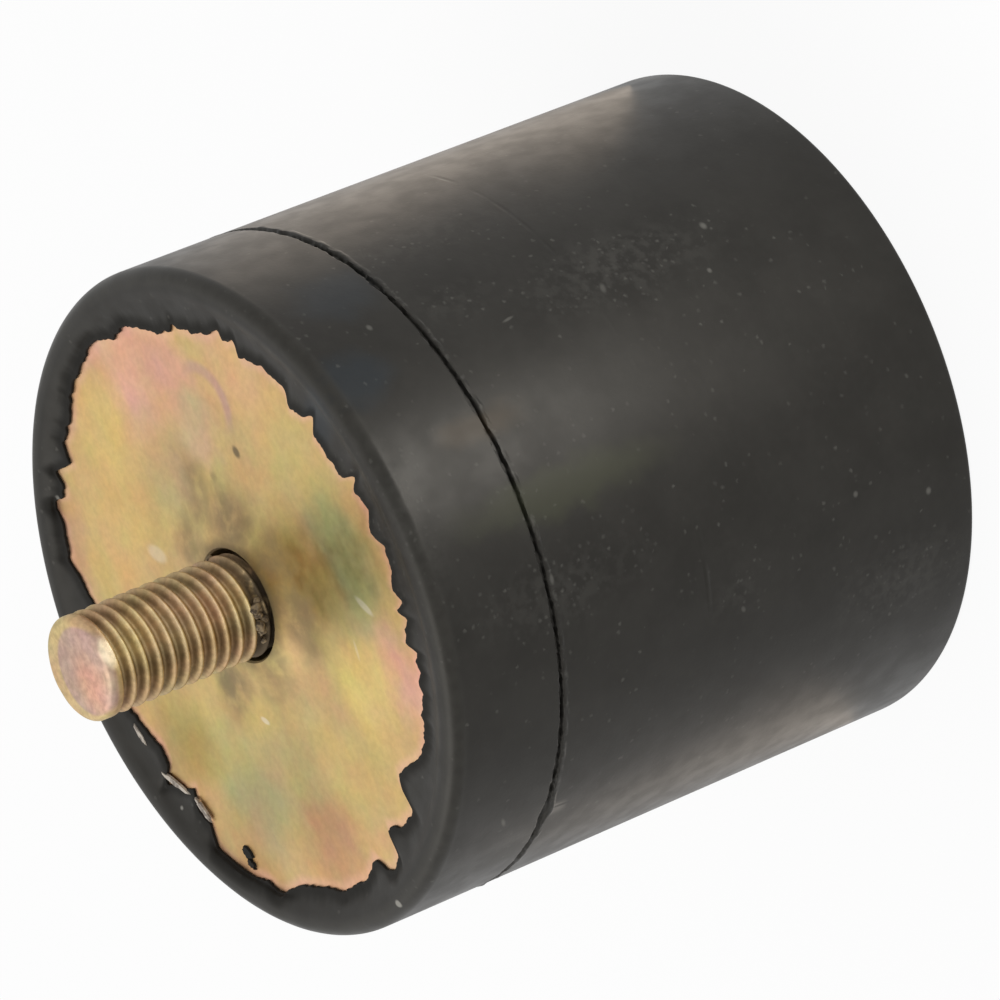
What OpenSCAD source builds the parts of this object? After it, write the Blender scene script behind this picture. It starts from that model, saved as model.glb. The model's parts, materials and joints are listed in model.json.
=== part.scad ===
// Rubber isolator: a moulded rubber cylinder with a steel plate and a threaded stud in one end.
// It stands on its plain end with the stud up, and the origin is the middle of the plain end.

/* [Rubber body] */
// Outside diameter of the rubber
body_d = 75; // [60:0.5:110]
// Length of the rubber, from the plain end to the stud end
body_h = 71.5; // [50:0.5:120]
// Radius of the edge round the stud end
stud_edge_r = 1.5; // [0.5:0.1:2.5]
// Radius of the edge round the plain end
plain_edge_r = 0.6; // [0.2:0.1:2.5]

/* [Mould lines] */
// Distance of the parting line from the stud end
parting_depth = 14.3; // [8:0.1:25]
// Width of the groove at the parting line
groove_w = 0.7; // [0.3:0.1:1.5]
// Depth of the groove at the parting line
groove_depth = 0.4; // [0.2:0.1:1]
// Width of the flash ridge beside the groove
ridge_w = 0.6; // [0.3:0.1:1.5]
// Height of the flash ridge and of the second mould line above the rubber
ridge_h = 0.15; // [0.05:0.05:0.4]
// Height of the second, fainter mould line above the plain end
second_line_z = 37; // [15:0.5:40]

/* [End plate] */
// Rubber round the plate's edge
edge_cover = 2; // [1.5:0.1:4]
// Thickness of the plate
plate_t = 4; // [2:0.5:8]
// Gap between the stud's thread and its hole in the plate
hole_gap = 0.3; // [0.1:0.05:0.8]
// Chamfer round the hole
hole_chamfer = 0.2; // [0.1:0.1:1]
// Height of the swelling that the pressed-in stud left round its hole
swell_h = 0.8; // [0.3:0.1:1.5]
// Radius of the swelling at its foot
swell_r = 13; // [10:0.5:18]
// Bonding coat round the edges of the steel
bond_gap = 0.1; // [0.05:0.05:0.3]

/* [Rim and film over the plate] */
// Depth of the plate's face below the stud end of the rubber
recess = 1.2; // [0.6:0.1:3]
// Width of the raised rim round the plate, from the rubber's wall to the middle of its slope
rim_w = 3.5; // [2.5:0.1:6]
// Width of the slope from the rim down to the film
rim_slope = 3; // [0.5:0.1:4]
// Thickness of the film of rubber that crept over the plate at the rim's foot
film_t = 0.3; // [0.1:0.05:0.5]
// How far the film reaches over the plate from its edge, before it is torn
film_reach = 4; // [3:0.1:6]
// Least of the plate's edge that stays covered where the film is torn away
film_least = 0.6; // [0.3:0.1:1.5]
// Share of the tears that is kept, from a clean round edge to the full raggedness
tear_share = 1; // [0:0.1:1.2]
// Height of the small teeth along the torn edge
tooth_h = 0.12; // [0:0.02:0.4]

/* [Stud] */
// Outside diameter of the thread
stud_d = 12; // [8:1:14]
// Length of the stud above the plate's face
stud_len = 21.7; // [14:0.1:40]
// Height of the chamfer at the tip
tip_h = 0.8; // [0.5:0.1:2]
// Width of the chamfer at the tip
tip_w = 0.8; // [0.5:0.1:2.5]
// Thread depth, by which the plain shank in the plate is slimmer than the thread
shank_inset = 0.57; // [0.3:0.01:1]
// Width across the flats of the head behind the plate
head_af = 18; // [16:1:24]
// Thickness of the head
head_h = 7.5; // [4:0.5:10]

/* [Hidden] */
$fn = 96;
cut = 1;
body_r = body_d / 2;
parting_z = body_h - parting_depth;
plate_r = body_r - edge_cover;
plate_top = body_h - recess;
plate_base = plate_top - plate_t;
film_r = plate_r - film_reach;
rim_r = body_r - rim_w;
stud_r = stud_d / 2;
hole_r = stud_r + hole_gap;
swell_top = plate_top + swell_h;
shank_r = stud_r - shank_inset;
tip_z = plate_top + stud_len;
head_base = plate_base - head_h;
// The film's torn edge: each pair is an angle from the front, -Y, counted anticlockwise from above, and how
// far the edge lies outside the film's round edge there. Tongues of rubber are negative.
tears = [
    [0, -0.5], [3, -2], [7.5, -0.5], [10, -0.7], [12, -1.7], [14, 0.4], [16, -1.9],
    [21, -2.3], [27, -2], [28.5, 0.3], [30, -0.7], [31.5, -1.7], [35.5, -2.2], [38, -0.3],
    [43, -0.8], [45, -0.3], [49, -1], [52.5, -1.5], [54, 0.3], [57.5, -0.4], [59, 0.5],
    [62, -0.4], [68, -1], [73.5, -0.8], [74.5, 0], [76, -1.2], [81, -1.3], [86, -0.4],
    [93, 0.6], [97, 0], [104, 1.5], [112, 1.2], [122, 1], [126, 0.4], [131, 0.4],
    [133.5, 1.1], [137, -0.7], [141.5, 2], [143, 0.8], [146, 0.9], [148.5, 2.9], [152, 1.3],
    [160, 1.1], [164, -0.4], [168, -1.4], [180, -1.1], [191, -0.1], [196, -0.9], [202, -1.6],
    [206, -0.9], [207, 1.4], [212, -0.7], [214.5, -2.1], [217, -0.1], [221, 0.2], [223, 1.6],
    [224.5, 2.6], [233, 2.8], [237, 1.9], [244, 2.4], [249, 0.9], [255, 0.4], [265, 1],
    [275, 0.5], [279.5, -0.6], [281, -0.5], [282.5, 0.8], [285, 1.5], [287.5, 1.4], [289.2, 0.8],
    [290, -1.7], [292, -1.8], [294.5, -0.9], [300, 0.1], [302.4, -0.4], [303.2, -2.5], [307, -3.4], [309, -2.8],
    [315, -1], [316.5, -0.3], [324, -0.1], [325, -0.9], [330, 0.1], [332, -0.9], [335, 0],
    [336.5, -0.8], [338.8, -0.1], [339.5, -1.9], [343, -1.6], [345.5, -0.6], [346.5, -2.1], [349, -0.7],
    [352, -2], [355.5, -0.8], [360, -0.5]
];
// Points along the torn edge from each pair to the next
tear_steps = 3;

// Small uneven teeth, worked out from the angle alone
function tooth(a) = tooth_h * (sin(a * 37) + sin(a * 61 + 40) + sin(a * 97 + 110)) / 1.5;

// Radius of the film's torn edge, which never bares the plate's own edge
function torn_r(a) = min(
    film_r + tear_share * lookup(a, tears) + tooth(a),
    plate_r - film_least
);

// The corner of a profile, as the piece that rounds it away
module corner_cut(r) {
    difference() {
        square(r + cut);
        circle(r);
    }
}

// The rubber's outline from its axis to its wall, turned round the axis by rubber_body
module rubber_profile() {
    difference() {
        union() {
            square([body_r, body_h]);
            translate([0, parting_z - groove_w / 2 - ridge_w]) square([body_r + ridge_h, ridge_w]);
            translate([0, second_line_z - ridge_w / 2]) square([body_r + ridge_h, ridge_w]);
        }
        translate([body_r - groove_depth, parting_z - groove_w / 2]) square([groove_depth + cut, groove_w]);
        translate([body_r - stud_edge_r, body_h - stud_edge_r]) corner_cut(stud_edge_r);
        translate([body_r - plain_edge_r, plain_edge_r]) mirror([0, 1]) corner_cut(plain_edge_r);
    }
}

// A six-sided head, by its width across the flats
module hex_head(af, h) {
    cylinder(r = af / sqrt(3), h = h, $fn = 6);
}

// The opening in the rim, and in the film at its foot, that shows the plate
module plate_window() {
    angles = [
        for (i = [0 : len(tears) - 2], k = [0 : tear_steps - 1])
            tears[i][0] + (tears[i + 1][0] - tears[i][0]) * k / tear_steps
    ];
    translate([0, 0, plate_top + film_t])
        cylinder(r1 = rim_r - rim_slope / 2, r2 = rim_r + rim_slope / 2, h = recess - film_t);
    translate([0, 0, body_h]) cylinder(r = rim_r + rim_slope / 2, h = cut);
    translate([0, 0, plate_top - cut / 2])
        linear_extrude(recess + cut)
            rotate(-90)
                polygon([for (a = angles) torn_r(a) * [cos(a), sin(a)]]);
}

module rubber_body() {
    color("#3b3a38")
        difference() {
            rotate_extrude() rubber_profile();
            translate([0, 0, plate_base]) cylinder(r = plate_r + bond_gap, h = plate_t);
            translate([0, 0, head_base]) hex_head(head_af + 2 * bond_gap, head_h + cut);
            plate_window();
        }
}

module end_plate() {
    color("#c9ae6c")
        difference() {
            union() {
                translate([0, 0, plate_base]) cylinder(r = plate_r, h = plate_t);
                translate([0, 0, plate_top])
                    cylinder(r1 = swell_r, r2 = hole_r + 2 * hole_chamfer, h = swell_h);
            }
            translate([0, 0, plate_base - cut]) cylinder(r = hole_r, h = swell_top - plate_base + 2 * cut);
            translate([0, 0, swell_top - hole_chamfer])
                cylinder(r1 = hole_r, r2 = hole_r + hole_chamfer + cut, h = hole_chamfer + cut);
        }
}

// The stud's outline from its axis: slim in the plate, full above it and chamfered at the tip
module stud_profile() {
    polygon([
        [0, head_base],
        [shank_r, head_base],
        [shank_r, swell_top],
        [stud_r, swell_top],
        [stud_r, tip_z - tip_h],
        [stud_r - tip_w, tip_z],
        [0, tip_z]
    ]);
}

module stud() {
    color("#b5a468") {
        translate([0, 0, head_base]) hex_head(head_af, head_h);
        rotate_extrude() stud_profile();
    }
}

rubber_body();
end_plate();
stud();
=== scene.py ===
"""Dresses a rubber isolator: a moulded rubber body, a plated end plate and a threaded stud.

All sizes are in metres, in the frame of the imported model: +Z runs along the isolator's axis from its
plain end to its stud, and -Y is its front. Angles round the axis are counted from the front towards +X.
"""

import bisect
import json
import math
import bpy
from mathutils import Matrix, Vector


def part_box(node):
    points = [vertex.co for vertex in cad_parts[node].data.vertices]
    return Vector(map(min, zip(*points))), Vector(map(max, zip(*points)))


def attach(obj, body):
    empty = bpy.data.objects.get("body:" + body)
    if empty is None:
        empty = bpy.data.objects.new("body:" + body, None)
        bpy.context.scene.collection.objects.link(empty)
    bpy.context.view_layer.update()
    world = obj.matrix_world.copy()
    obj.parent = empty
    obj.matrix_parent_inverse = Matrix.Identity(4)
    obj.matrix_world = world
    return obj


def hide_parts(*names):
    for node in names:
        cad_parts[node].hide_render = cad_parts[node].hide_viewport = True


bl_info = {
    "name": "Rubber Isolator",
    "version": (1, 0, 0),
    "blender": (4, 5, 0),
    "location": "View3D > Sidebar > Isolator",
    "description": "Builds the rubber, plate, stud and stage of a moulded rubber isolator",
    "category": "Add Mesh",
}

import bmesh
import bpy
from bpy.props import FloatProperty, FloatVectorProperty, IntProperty, PointerProperty
from mathutils import Matrix, Vector, noise

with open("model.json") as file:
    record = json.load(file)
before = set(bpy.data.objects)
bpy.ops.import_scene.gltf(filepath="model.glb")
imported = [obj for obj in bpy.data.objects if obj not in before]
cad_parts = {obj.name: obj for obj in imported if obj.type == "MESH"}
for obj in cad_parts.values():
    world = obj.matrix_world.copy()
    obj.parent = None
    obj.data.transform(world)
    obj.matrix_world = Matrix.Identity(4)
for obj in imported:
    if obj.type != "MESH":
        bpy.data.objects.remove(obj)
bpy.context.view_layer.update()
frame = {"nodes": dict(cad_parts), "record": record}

_, RUBBER_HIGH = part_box("rubber_body")
PLATE_LOW, PLATE_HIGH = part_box("end_plate")
STUD_LOW, STUD_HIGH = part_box("stud")
MOUNTS = {mount["name"]: mount for mount in frame["record"]["mounts"]}
PLATE_THICKNESS = 0.004
PLATE_FACE = PLATE_LOW.z + PLATE_THICKNESS
SWELLING = PLATE_HIGH.z - PLATE_FACE
THREAD_RADIUS = MOUNTS["stud"]["dims"]["r_mm"] / 1000
BODY = "root"
MM = 0.001
TOUCH = 1e-6


def length(name, description, default):
    """A setting that is a length."""
    return FloatProperty(name=name, description=description, default=default, unit="LENGTH")


def paint(name, description, default):
    """A setting that is a colour."""
    return FloatVectorProperty(name=name, description=description, subtype="COLOR", default=default)


def fraction(name, description, default):
    """A setting that runs from 0 to 1."""
    return FloatProperty(
        name=name, description=description, subtype="FACTOR", default=default, min=0, max=1
    )


class RubberSettings(bpy.types.PropertyGroup):
    """Sizes and colours of the moulded rubber"""

    segments: IntProperty(name="Segments", description="Steps round the axis", default=720, min=48)
    ridge_height: length("Ridge height", "How far the mould lines stand out of the wall", 0.15 * MM)
    parting_depth: length("Parting line", "Distance of the parting line from the stud end", 14.3 * MM)
    groove_width: length("Groove width", "Width of the parting groove", 0.55 * MM)
    groove_depth: length("Groove depth", "Depth of the parting groove", 0.5 * MM)
    second_line_z: length("Second line", "Height of the fainter mould line above the plain end", 37 * MM)
    stud_edge: length("Stud edge", "Radius of the edge round the stud end", 1.5 * MM)
    plain_edge: length("Plain edge", "Radius of the edge round the plain end", 0.6 * MM)
    rim_width: length("Rim width", "Width of the raised rim round the plate", 3.5 * MM)
    rim_slope: length("Rim slope", "Width of the slope inside the rim", 3.0 * MM)
    film_thickness: length("Film thickness", "Thickness of the film of rubber on the plate", 0.3 * MM)
    colour: paint("Rubber", "Colour of clean rubber", (0.0115, 0.011, 0.0098))
    # Also the colour of the painted glints on the ridge below the parting groove
    dust_and_glint_colour: paint("Dust", "Colour of the dust specks", (0.30, 0.29, 0.26))
    roughness: fraction("Roughness", "Roughness of clean rubber", 0.4)


class PlateSettings(bpy.types.PropertyGroup):
    """Sizes and colours of the plated end plate"""

    segments: IntProperty(name="Segments", description="Steps round the axis", default=360, min=48)
    hole_gap: length("Hole gap", "Gap between the thread and the hole", 0.3 * MM)
    chamfer: length("Chamfer", "Chamfer round the hole", 0.2 * MM)
    swell_radius: length("Swelling", "Radius of the swelling round the hole", 13 * MM)
    waviness: length("Waviness", "Unevenness of the pressed face", 0.02 * MM)
    colour: paint("Plating", "Main colour of the plating", (0.51, 0.37, 0.15))
    # The colour of the grime, and of the painted shade, round the stud
    grime_and_shade_colour: paint("Grime", "Colour of the grime round the stud", (0.17, 0.13, 0.085))
    roughness: fraction("Roughness", "Roughness of the plating", 0.4)


class StudSettings(bpy.types.PropertyGroup):
    """Sizes and colours of the threaded stud"""

    segments: IntProperty(name="Segments", description="Steps in a turn of the thread", default=72, min=24)
    pitch: length("Pitch", "Pitch of the thread", 1.75 * MM)
    depth: length("Depth", "Depth of the thread", 1.0 * MM)
    tip_height: length("Tip height", "Height of the rounded tip", 0.8 * MM)
    tip_width: length("Tip width", "Width of the rounded tip", 0.8 * MM)
    crest_wear: length("Crest wear", "How much is worn off the crests", 0.13 * MM)
    shank_inset: length("Shank inset", "How much slimmer the shank is", 0.57 * MM)
    crest_colour: paint("Crests", "Colour of the thread's crests", (0.43, 0.31, 0.165))
    # Darker than the crests: partly wear on the crests, partly painted shade in the roots
    root_colour: paint("Roots", "Colour of the thread's roots", (0.25, 0.17, 0.085))
    end_colour: paint("End", "Colour of the stud's end face", (0.44, 0.315, 0.25))


class StageSettings(bpy.types.PropertyGroup):
    """The floor, lamps and camera"""

    floor_size: length("Floor", "Width of the floor", 6.0)
    floor_colour: paint("Floor", "Colour of the floor", (0.86, 0.86, 0.86))
    sky: FloatProperty(name="Sky", description="Strength of the light from all round", default=0.55)
    lens: FloatProperty(name="Lens", description="Focal length", default=289.6, subtype="DISTANCE_CAMERA")
    distance: length("Distance", "From the camera to the body's middle", 0.8721)
    elevation: FloatProperty(
        name="Elevation",
        description="Height of the camera above the horizon",
        default=math.radians(32.621),
        unit="ROTATION",
    )
    roll: FloatProperty(
        name="Roll",
        description="Turn of the camera about its view",
        default=math.radians(-112.121),
        unit="ROTATION",
    )
    sideways: length("Sideways", "Shift of the camera to its right", 0.28 * MM)


class IsolatorSettings(bpy.types.PropertyGroup):
    """All settings of the isolator"""

    rubber: PointerProperty(type=RubberSettings)
    plate: PointerProperty(type=PlateSettings)
    stud: PointerProperty(type=StudSettings)
    stage: PointerProperty(type=StageSettings)


# Shared shapes


def arc(centre, radius, start, end, steps):
    """Points of a profile along an arc, as distance from the axis and height."""
    turns = [math.radians(start + (end - start) * i / steps) for i in range(steps + 1)]
    return [(centre[0] + radius * math.cos(t), centre[1] + radius * math.sin(t)) for t in turns]


def spaced(low, high, step):
    """Even heights from low up to, but not including, high, about a step apart."""
    count = max(1, round((high - low) / step))
    return [low + (high - low) * i / count for i in range(count)]


def front_angle(x, y):
    """Angle round the axis in degrees, from the front towards +X."""
    return math.degrees(math.atan2(x, -y))


def ring_noise(angle, count, seed):
    """Smooth noise round the axis that meets itself, with about count bumps in a turn."""
    reach = count / math.tau
    turn = math.radians(angle)
    return noise.noise(Vector((reach * math.cos(turn), reach * math.sin(turn), seed)))


def smooth(low, high, value):
    """Eased step from 0 at low to 1 at high."""
    t = min(1.0, max(0.0, (value - low) / (high - low)))
    return t * t * (3 - 2 * t)


def turned(profile, segments, closed=False):
    """A bmesh of a profile turned round the axis."""
    bm = bmesh.new()
    verts = [bm.verts.new((radius, 0, height)) for radius, height in profile]
    pairs = list(zip(verts, verts[1:]))
    if closed:
        pairs.append((verts[-1], verts[0]))
    edges = [bm.edges.new(pair) for pair in pairs]
    bmesh.ops.spin(
        bm,
        geom=verts + edges,
        cent=(0, 0, 0),
        axis=(0, 0, 1),
        angle=math.tau,
        steps=segments,
        use_merge=True,
    )
    bmesh.ops.remove_doubles(bm, verts=bm.verts, dist=TOUCH)
    bmesh.ops.recalc_face_normals(bm, faces=bm.faces)
    return bm


def piece_from(bm, name, material, crease=40):
    """An object of a finished bmesh, smooth but for edges sharper than the crease, riding on the body."""
    for face in bm.faces:
        face.smooth = True
    for edge in bm.edges:
        edge.smooth = edge.calc_face_angle(0) < math.radians(crease)
    mesh = bpy.data.meshes.new(name)
    bm.to_mesh(mesh)
    bm.free()
    mesh.materials.append(material)
    piece = bpy.data.objects.new(name, mesh)
    bpy.context.scene.collection.objects.link(piece)
    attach(piece, BODY)
    return piece


# Shared shader parts


class Shader:
    """A material whose nodes are added in a few words each."""

    def __init__(self, name, **surface):
        self.material = bpy.data.materials.new(name)
        self.material.use_nodes = True
        self.tree = self.material.node_tree
        self.surface = self.tree.nodes["Principled BSDF"]
        for socket, value in surface.items():
            self.surface.inputs[socket.replace("_", " ")].default_value = value

    def feed(self, socket, value):
        """Links a socket, or sets its own value."""
        if isinstance(value, bpy.types.NodeSocket):
            self.tree.links.new(value, socket)
        elif hasattr(value, "__len__") and len(value) == 3 and socket.type == "RGBA":
            socket.default_value = (*value, 1)
        else:
            socket.default_value = value

    def node(self, kind, inputs=(), **settings):
        """A new node with its settings and inputs."""
        made = self.tree.nodes.new("ShaderNode" + kind)
        for key, value in settings.items():
            setattr(made, key, value)
        for key, value in dict(inputs).items():
            self.feed(made.inputs[key], value)
        return made

    def math(self, operation, *values):
        """The result of a sum."""
        made = self.node("Math", dict(enumerate(values)), operation=operation)
        return made.outputs[0]

    def mix(self, factor, low, high, blend="MIX"):
        """One colour laid over another."""
        made = self.node("Mix", {0: factor, 6: low, 7: high}, data_type="RGBA", blend_type=blend)
        return made.outputs[2]

    def ramp(self, value, low, high, start=0.0, end=1.0):
        """An eased step between two values."""
        inputs = {"Value": value, "From Min": low, "From Max": high, "To Min": start, "To Max": end}
        return self.node("MapRange", inputs, interpolation_type="SMOOTHSTEP").outputs["Result"]

    def noise(self, vector, size, detail=3, output="Fac"):
        """Noise whose features are about a size across."""
        inputs = {"Vector": vector, "Scale": 1 / size, "Detail": detail}
        return self.node("TexNoise", inputs).outputs[output]

    def place(self):
        """Where a point is on the object."""
        return self.node("TexCoord").outputs["Object"]

    def parts(self, vector):
        """The three numbers of a vector."""
        return self.node("SeparateXYZ", {0: vector}).outputs

    def flat(self, x, y):
        """A vector that lies flat."""
        return self.node("CombineXYZ", {0: x, 1: y}).outputs[0]

    def spot(self, vector, centre, half, turn=0.0):
        """A soft oval patch, 1 at its middle and 0 at its edge."""
        inputs = {
            "Vector": vector,
            "Location": (*centre, 0)[:3],
            "Rotation": (0, 0, math.radians(turn)),
            "Scale": (*half, 1)[:3],
        }
        placed = self.node("Mapping", inputs, vector_type="TEXTURE").outputs[0]
        return self.node("TexGradient", {0: placed}, gradient_type="SPHERICAL").outputs["Fac"]

    def patch(self, vector, x, y, long, wide, turn, strength, soft=0.8):
        """An oval patch of a flat vector, in millimetres, that fades out to its edge."""
        oval = self.spot(vector, (x * MM, y * MM), (long * MM, wide * MM), turn)
        return self.ramp(oval, 0, soft, 0, strength)

    def most(self, factors):
        """The largest of several factors."""
        largest = 0.0
        for factor in factors:
            largest = self.math("MAXIMUM", largest, factor)
        return largest

    def warped(self, vector, size, reach):
        """A vector pushed about by noise, so that what lies on it has uneven edges."""
        cloud = self.noise(vector, size, output="Color")
        inputs = {0: cloud, 1: (reach, reach, reach), 2: (-reach / 2, -reach / 2, 0)}
        push = self.node("VectorMath", inputs, operation="MULTIPLY_ADD").outputs[0]
        return self.node("VectorMath", {0: vector, 1: push}, operation="ADD").outputs[0]

    def bump(self, height, distance, strength=1.0):
        """Fine relief on the surface."""
        made = self.node("Bump", {"Height": height, "Distance": distance, "Strength": strength})
        self.feed(self.surface.inputs["Normal"], made.outputs[0])


# Rubber body


# Radius of the wall, which the mould lines stand out of
BODY_RADIUS = RUBBER_HIGH.x - 0.15 * MM
# Outside of this radius the film's tears don't move the rim
RIM_OUTER = BODY_RADIUS - 1.5 * MM
FILM_RADIUS = PLATE_HIGH.x - 4 * MM
POCKET_RADIUS = PLATE_HIGH.x + 0.1 * MM
HEAD_RADIUS = STUD_HIGH.x + 0.1 * MM
WALL_STEP = 2.0 * MM
LINE_STEP = 0.09 * MM
# How far up and down from each mould line the wall's rings lie close together
PARTING_REACH = 1.2 * MM
SECOND_REACH = 0.6 * MM
# Name of the attribute that holds each point's distance to the film's torn edge
FILM_GAP = "film_gap"
FAR_FROM_FILM = 10 * MM
# Where the parting groove is torn wide, in degrees
NICK_ANGLE = -60
# Arcs of the second mould line in degrees, with how far it stands out of the wall, or into it
SECOND_LINE = ((-32, -8, 0.5), (10, 32, 0.12), (33, 72, -0.25), (110, 170, 0.4), (-170, -95, -0.5))


def read_torn_edge():
    """Angle and radius of the points of the film's torn edge, from the frame's own solid."""
    points = {}
    for vertex in frame["nodes"]["rubber_body"].data.vertices:
        x, y, z = vertex.co
        radius = math.hypot(x, y)
        if abs(z - PLATE_FACE) < TOUCH and radius < PLATE_HIGH.x - 0.3 * MM:
            points[round(front_angle(x, y), 4)] = radius
    edge = sorted(points.items())
    first, last = edge[0], edge[-1]
    return [(last[0] - 360, last[1]), *edge, (first[0] + 360, first[1])]


def torn_radius(edge, angle):
    """Radius of the torn edge at an angle, with the points of its teeth a little blunted."""
    total = 0.0
    for near in (angle - 0.4, angle, angle + 0.4):
        i = min(max(bisect.bisect_left(edge, (near, 0)), 1), len(edge) - 1)
        (low, a), (high, b) = edge[i - 1], edge[i]
        total += a + (b - a) * (near - low) / (high - low)
    return total / 3


def wall_heights(s):
    """Heights of the rings up the wall, close together at the two mould lines."""
    top = RUBBER_HIGH.z - s.stud_edge
    lines = ((s.second_line_z, SECOND_REACH), (RUBBER_HIGH.z - s.parting_depth, PARTING_REACH))
    heights = []
    start = s.plain_edge
    for line, reach in lines:
        heights += spaced(start, line - reach, WALL_STEP)
        heights += spaced(line - reach, line + reach, LINE_STEP)
        start = line + reach
    return heights + spaced(start, top, WALL_STEP)


def rubber_profile(s):
    """The rubber's section: plain end, wall, rim, film over the plate, and the pocket behind the film."""
    top = RUBBER_HIGH.z
    rim = BODY_RADIUS - s.rim_width
    film_top = PLATE_FACE + s.film_thickness
    points = [(radius, 0) for radius in spaced(0, BODY_RADIUS - s.plain_edge, 6 * MM)]
    points += arc((BODY_RADIUS - s.plain_edge, s.plain_edge), s.plain_edge, -90, 0, 5)[:-1]
    points += [(BODY_RADIUS, height) for height in wall_heights(s)]
    points += arc((BODY_RADIUS - s.stud_edge, top - s.stud_edge), s.stud_edge, 0, 90, 8)
    for share in spaced(0, 1, 0.1):
        height = top + (film_top - top) * smooth(0, 1, share)
        points.append((rim + s.rim_slope * (0.5 - share), height))
    inner = (rim - s.rim_slope / 2, FILM_RADIUS + 0.7 * MM, FILM_RADIUS + 0.35 * MM)
    points += [(radius, film_top) for radius in inner]
    lip = 0.12 * MM
    points += arc((FILM_RADIUS + lip, film_top - lip), lip, 90, 180, 3)
    under = (FILM_RADIUS, FILM_RADIUS + 1.5 * MM, POCKET_RADIUS)
    points += [(radius, PLATE_FACE) for radius in under]
    points += [(POCKET_RADIUS, PLATE_LOW.z), (HEAD_RADIUS, PLATE_LOW.z), (HEAD_RADIUS, STUD_LOW.z)]
    points += [(HEAD_RADIUS / 2, STUD_LOW.z), (0, STUD_LOW.z)]
    return points


def parting_relief(s, angle, height):
    """How far the wall stands out of round near the parting line."""
    line = RUBBER_HIGH.z - s.parting_depth + 0.1 * MM * ring_noise(angle, 9, 1)
    away = height - line
    if abs(away) > PARTING_REACH:
        return 0.0
    rough = ring_noise(angle, 150, 2) + 0.7 * ring_noise(angle, 400, 8)
    slow = ring_noise(angle, 14, 3)
    nick = math.exp(-(((angle - NICK_ANGLE) / 2.5) ** 2))
    side = math.sin(math.radians(angle)) ** 2
    half = s.groove_width / 2 * max(0.3, 1 + 0.35 * slow + 0.75 * rough + 0.6 * side + nick)
    groove = s.groove_depth * smooth(0, 0.45, 1 - abs(away) / half)
    ridge_width = 0.55 * MM
    along = (-away - half) / ridge_width
    ridge = 0.0
    if 0 < along < 1:
        ridge = math.sin(math.pi * along) * max(0, 0.2 + 1.4 * ring_noise(angle, 130, 4))
    return s.ridge_height * min(1, ridge) - groove


def second_relief(s, angle, height):
    """How far the wall stands out of round at the fainter mould line."""
    away = abs(height - s.second_line_z)
    if away > 0.5 * MM:
        return 0.0
    away = abs(height - s.second_line_z - 0.1 * MM * ring_noise(angle, 12, 5))
    rise = sum(
        amount * smooth(0, 4, angle - low) * smooth(0, 4, high - angle) for low, high, amount in SECOND_LINE
    )
    rise *= max(0, 0.4 + 1.2 * ring_noise(angle, 80, 6))
    return s.ridge_height * max(-1, min(1, rise)) * smooth(0, 1, 1 - away / (0.4 * MM))


def slid_radius(radius, torn, rim):
    """A ring's radius once the film ends at its torn edge and the rim keeps clear of the tears."""
    wall = max(rim, torn + 0.25 * MM)
    if radius <= rim:
        return torn + (radius - FILM_RADIUS) / (rim - FILM_RADIUS) * (wall - torn)
    return wall + (radius - rim) / (RIM_OUTER - rim) * (RIM_OUTER - wall)


def shape_rubber(bm, s):
    """Gives the turned rubber its torn film, its mould lines and its slight unevenness."""
    edge = read_torn_edge()
    gap = bm.verts.layers.float.new(FILM_GAP)
    rim = BODY_RADIUS - s.rim_width
    for vert in bm.verts:
        vert[gap] = FAR_FROM_FILM
        x, y, z = vert.co
        radius = math.hypot(x, y)
        if radius < TOUCH:
            continue
        angle = front_angle(x, y)
        new = radius
        if z > PLATE_FACE - TOUCH and radius < RIM_OUTER - TOUCH:
            ragged_rim = rim + 0.12 * MM * ring_noise(angle, 60, 7)
            teeth = 0.25 * ring_noise(angle, 200, 9) + 0.2 * ring_noise(angle, 500, 10)
            torn = torn_radius(edge, angle) + teeth * MM
            torn = min(torn, rim - 0.1 * MM)
            new = slid_radius(radius, torn, ragged_rim)
            vert[gap] = new - torn
            above = z - PLATE_FACE
            uneven = 0.35 * noise.noise(Vector((x, y, 0)) / (2.5 * MM))
            if above > TOUCH and radius < rim:
                vert.co.z += min(above, s.film_thickness) * uneven
        elif radius > BODY_RADIUS - TOUCH:
            new += parting_relief(s, angle, z) + second_relief(s, angle, z)
            new += 0.012 * MM * noise.noise(vert.co / (9 * MM)) - 0.012 * MM
        vert.co.x *= new / radius
        vert.co.y *= new / radius


# Tints on the wall: angle and height of the middle, half-widths, colour and strength. The first two, warm
# and lighter than the rubber, are painted sheen; the two bluish ones are tints
WALL_TINTS_AND_SHEEN = (
    # Painted sheen: two warm patches lighter than the rubber
    (-2, 52, 5.5, 18, (0.030, 0.032, 0.018), 0.8),
    (12, 58, 4.5, 8, (0.036, 0.026, 0.016), 0.8),
    (27, 68, 7, 6, (0.012, 0.018, 0.024), 0.75),
    (44, 62, 8, 7, (0.013, 0.018, 0.023), 0.7),
)
# Clouds of dust on the wall: angle and height of the middle, half-widths and strength
DUST_CLOUDS = (
    (29, 32, 9, 17, 1.0),
    (34, 52, 6, 7, 0.6),
    (-17, 56, 8, 16, 0.7),
    (-40, 10, 10, 12, 0.8),
    (-30, 33, 6, 6, 0.6),
    (50, 48, 8, 14, 0.5),
    (5, 70, 22, 3, 0.6),
)
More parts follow.
